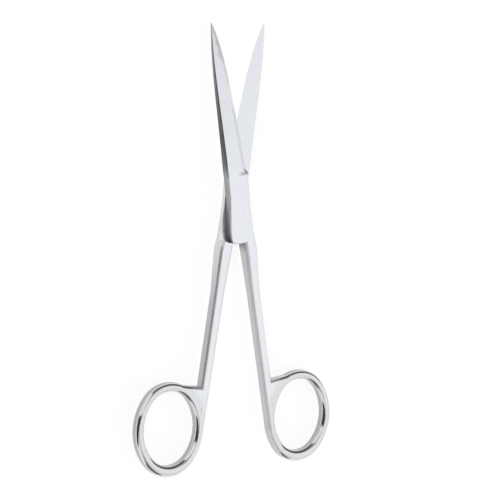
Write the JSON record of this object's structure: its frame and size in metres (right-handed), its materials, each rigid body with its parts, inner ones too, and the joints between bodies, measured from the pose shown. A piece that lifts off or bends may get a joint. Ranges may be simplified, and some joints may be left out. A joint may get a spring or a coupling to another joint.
{
  "type": "suture scissors",
  "caption": "Ring-handled surgical scissors with straight bevelled blades, sharp points, a countersunk joint screw and oval finger rings; they open and shut about the screw.",
  "frame": {"origin": "on the pivot's line, at the back face of the joint, which the scissors can lie on", "axes": "+Y from the pivot towards the points, between the open blades; +X towards the ring of the front half; +Z along the pivot's line, from the back half to the front half"},
  "size_m": [0.0724, 0.1412, 0.0052],
  "materials": {
    "front_half": "satin stainless steel with polished rings",
    "rear_half": "satin stainless steel with polished rings",
    "joint_screw": "turned stainless steel"
  },
  "bodies": {
    "rear": {"rear_half": "rear_half"},
    "front": {"front_half": "front_half", "joint_screw": "joint_screw"}
  },
  "joints": [
    {"name": "joint_pivot", "type": "hinge", "parent": "rear", "child": "front", "pos_m": [0, 0, 0.0026], "axis": [0, 0, 1], "range_deg": [-19, 51]}
  ]
}
